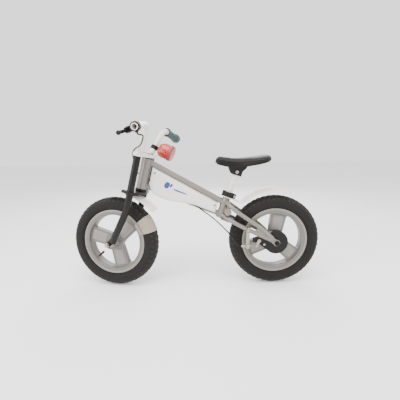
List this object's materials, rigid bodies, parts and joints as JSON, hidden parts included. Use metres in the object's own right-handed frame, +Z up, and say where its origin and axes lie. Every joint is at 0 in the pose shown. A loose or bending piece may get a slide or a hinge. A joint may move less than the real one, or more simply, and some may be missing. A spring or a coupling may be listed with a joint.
{
  "type": "balance bike",
  "caption": "Child's balance bike: silver tube frame with white side panels, cast three-spoke wheels, white mudguards, rear drum brake, low saddle and a bell.",
  "frame": {"origin": "where the rear tyre touches the ground, on the bike's middle plane", "axes": "+X points back along the bike, -X is the way it rides; +Y is the rider's right; +Z is up"},
  "size_m": [0.8576, 0.4002, 0.5497],
  "materials": {
    "silver_paint": "satin silver paint, slightly warm",
    "white_paint": "semi-gloss white paint",
    "black_paint": "semi-gloss black paint",
    "zinc_steel": "zinc-plated steel",
    "tyre_rubber": "matt black rubber with a worn tread",
    "tube_rubber": "plain butyl rubber",
    "rim_plastic": "moulded grey plastic",
    "white_plastic": "glossy white plastic, a little yellowed",
    "black_plastic": "moulded black plastic",
    "teal_rubber": "soft dark teal rubber",
    "orange_plastic": "glossy orange-red plastic",
    "saddle_skin": "black synthetic leather over foam"
  },
  "bodies": {
    "frame": {"frame": "silver_paint", "headset_cup_lower": "black_paint", "headset_cup_upper": "black_paint", "side_panel_left": "white_plastic", "side_panel_right": "white_plastic", "panel_screw_left_front": "zinc_steel", "panel_screw_left_rear": "zinc_steel", "panel_screw_right_front": "zinc_steel", "panel_screw_right_rear": "zinc_steel", "seat_collar": "black_plastic", "seat_collar_bolt": "zinc_steel", "rear_mudguard": "white_plastic", "rear_axle": "zinc_steel", "rear_axle_nut_left": "black_paint", "rear_axle_nut_right": "zinc_steel", "brake_housing": "black_paint", "brake_band": "zinc_steel", "brake_band_pin": "zinc_steel", "cable_stop": "zinc_steel", "cable_adjuster": "zinc_steel", "brake_cable": "black_plastic"},
    "fork": {"steerer": "zinc_steel", "lower_crown": "black_paint", "upper_crown": "white_paint", "fork_leg_left": "black_paint", "fork_leg_right": "black_paint", "handlebar_left": "white_paint", "handlebar_right": "white_paint", "grip_right": "teal_rubber", "brake_lever_bracket": "black_plastic", "brake_lever_pin": "zinc_steel", "bell_clamp": "black_plastic", "bell_body": "orange_plastic", "bell_cap": "orange_plastic", "front_axle": "zinc_steel", "front_axle_nut_left": "zinc_steel", "front_axle_nut_right": "zinc_steel", "front_mudguard": "white_plastic", "front_mudguard_bolt": "zinc_steel", "brake_cable_front": "black_plastic"},
    "front_wheel": {"front_rim": "rim_plastic", "front_tyre": "tyre_rubber", "front_inner_tube": "tube_rubber", "front_bearing_left": "zinc_steel", "front_bearing_right": "zinc_steel"},
    "rear_wheel": {"rear_rim": "rim_plastic", "rear_tyre": "tyre_rubber", "rear_inner_tube": "tube_rubber", "rear_bearing_left": "zinc_steel", "rear_bearing_right": "zinc_steel", "brake_drum": "black_paint"},
    "brake_lever": {"brake_lever_blade": "black_plastic"},
    "brake_arm": {"brake_arm": "zinc_steel", "cable_clamp": "zinc_steel"},
    "bell_lever": {"bell_lever": "orange_plastic"},
    "seat_post": {"seat_post": "white_paint", "saddle_clamp": "black_paint", "saddle_clamp_bolt": "zinc_steel"},
    "saddle": {"saddle_base": "black_plastic", "saddle_cover": "saddle_skin"}
  },
  "joints": [
    {"name": "steering", "type": "hinge", "parent": "frame", "child": "fork", "pos_m": [-0.45005, 0, 0.3405], "axis": [0.247, 0, 0.969], "range_deg": [-37, 63], "deforming": ["brake_cable"]},
    {"name": "front_wheel_spin", "type": "hinge", "parent": "fork", "child": "front_wheel", "pos_m": [-0.54971, 0.0117, 0.15467], "axis": [0.218, 0.9744, -0.0556], "continuous": true},
    {"name": "rear_wheel_spin", "type": "hinge", "parent": "frame", "child": "rear_wheel", "pos_m": [0, 0, 0.155], "axis": [0, 1, 0], "continuous": true},
    {"name": "brake_lever_pull", "type": "hinge", "parent": "fork", "child": "brake_lever", "pos_m": [-0.4431, -0.16799, 0.52136], "axis": [-0.3625, -0.0866, 0.928], "range_deg": [0, 20], "stiffness_Nm_per_rad": 0.15, "springref_deg": -20.05},
    {"name": "brake_arm_pull", "type": "hinge", "parent": "frame", "child": "brake_arm", "pos_m": [-0.058, -0.0431, 0.162], "axis": [0, 1, 0], "range_deg": [0, 13]},
    {"name": "bell_lever_flick", "type": "hinge", "parent": "fork", "child": "bell_lever", "pos_m": [-0.3927, 0.02398, 0.46416], "axis": [0.247, 0, 0.969], "range_deg": [-25, 0], "stiffness_Nm_per_rad": 0.02, "springref_deg": 8.59},
    {"name": "seat_height", "type": "slide", "parent": "frame", "child": "seat_post", "axis": [0.3502, 0, 0.9367], "range_m": [-0.045, 0.05]},
    {"name": "saddle_tilt", "type": "hinge", "parent": "seat_post", "child": "saddle", "pos_m": [-0.1302, 0, 0.39087], "axis": [0, 1, 0], "range_deg": [-10, 15]}
  ],
  "couplings": [
    {"joint": "brake_arm_pull", "follows": "brake_lever_pull", "ratio": 0.6}
  ]
}
